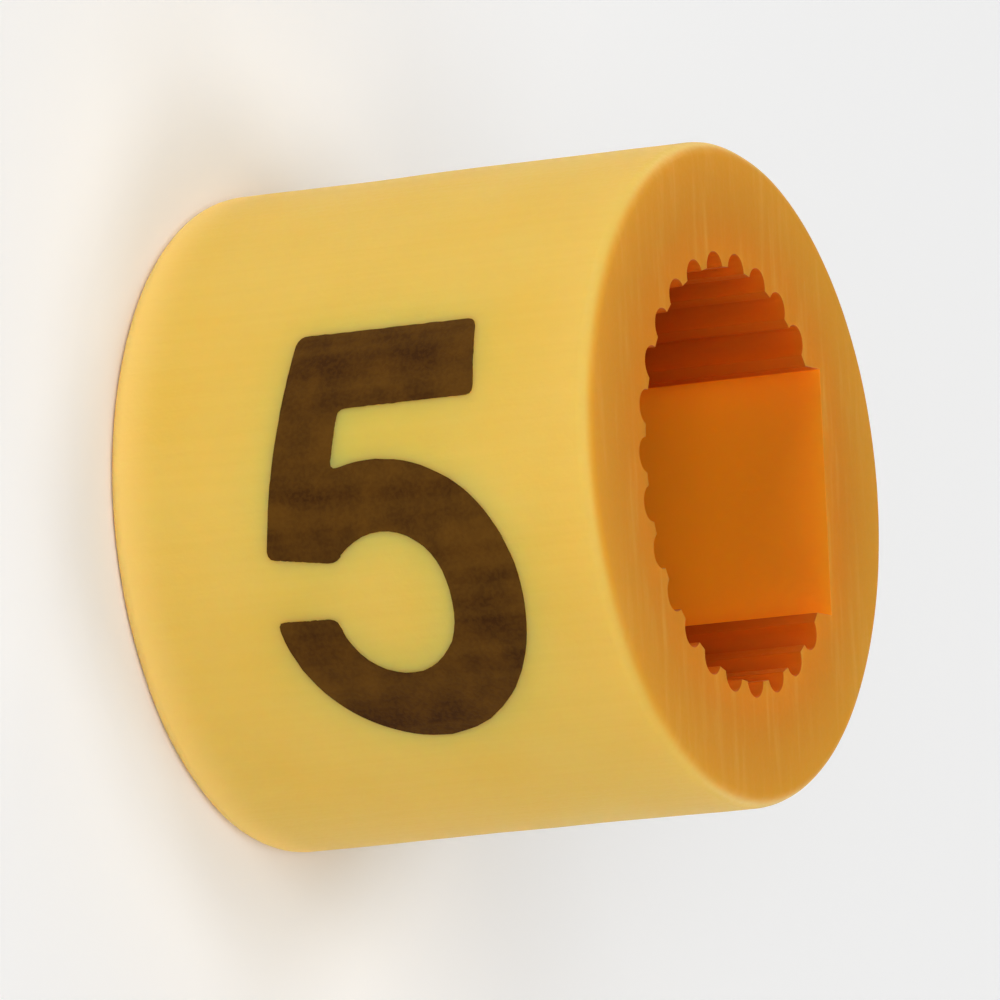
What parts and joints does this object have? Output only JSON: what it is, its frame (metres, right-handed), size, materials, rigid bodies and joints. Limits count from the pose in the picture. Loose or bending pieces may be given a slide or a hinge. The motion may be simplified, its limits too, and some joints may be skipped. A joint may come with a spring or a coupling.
{
  "type": "cable marker",
  "caption": "Short soft plastic sleeve with a printed numeral that slips over a wire to number it; a finely ribbed bore with a flat land grips the insulation.",
  "frame": {"origin": "centre of the lower cut end, on the bore axis", "axes": "+Z along the bore from the lower cut end to the upper one, -Y out of the printed face, +X across the bore, towards the foot of the numeral"},
  "size_m": [0.006, 0.006, 0.0048],
  "materials": {
    "yellow_pvc": "satin soft PVC, slightly translucent"
  },
  "bodies": {
    "root": {"marker_sleeve": "yellow_pvc"}
  },
  "joints": []
}
